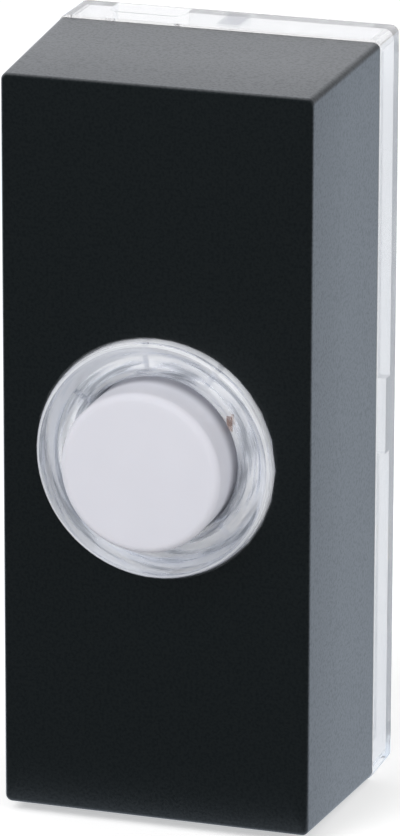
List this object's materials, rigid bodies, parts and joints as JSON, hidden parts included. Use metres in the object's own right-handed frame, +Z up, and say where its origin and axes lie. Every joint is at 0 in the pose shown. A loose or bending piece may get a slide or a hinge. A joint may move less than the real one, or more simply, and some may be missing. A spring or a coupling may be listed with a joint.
{
  "type": "doorbell push button",
  "caption": "Wired door push in an upright black box on a clear base, with a raised clear ring round a white sprung button.",
  "frame": {"origin": "centre of the flat face that lies against the wall", "axes": "+Y into the wall, so the front faces -Y; +Z up the door frame, along the longest side; +X to the right of someone facing the button"},
  "size_m": [0.0312, 0.0296, 0.0724],
  "materials": {
    "cover_plastic": "fine moulded texture, near black",
    "clear_plastic": "clear, polished",
    "button_plastic": "white, slightly translucent, satin",
    "bronze": "plain phosphor bronze",
    "brass": "plain stamped brass",
    "spring_steel": "drawn wire",
    "plated_steel": "zinc plated",
    "board_laminate": "white solder mask",
    "led_resin": "pale resin",
    "chip_resin": "black moulding resin"
  },
  "bodies": {
    "housing": {"cover": "cover_plastic", "base": "clear_plastic", "surround_ring": "clear_plastic", "return_spring": "spring_steel", "contact_left": "brass", "contact_right": "brass", "terminal_screws": "plated_steel", "terminal_nuts": "brass", "clamp_washers": "plated_steel", "light_board": "board_laminate", "board_screws": "plated_steel", "board_pins": "brass", "led_1": "led_resin", "led_2": "led_resin", "led_3": "led_resin", "led_4": "led_resin", "rectifier": "chip_resin", "resistor": "chip_resin"},
    "button": {"button_cap": "button_plastic", "contact_bridge": "bronze"}
  },
  "joints": [
    {"name": "button_press", "type": "slide", "parent": "housing", "child": "button", "axis": [0, 1, 0], "range_m": [0, 0.0016], "stiffness_N_per_m": 700, "springref_m": -0.002, "deforming": ["return_spring"]}
  ]
}
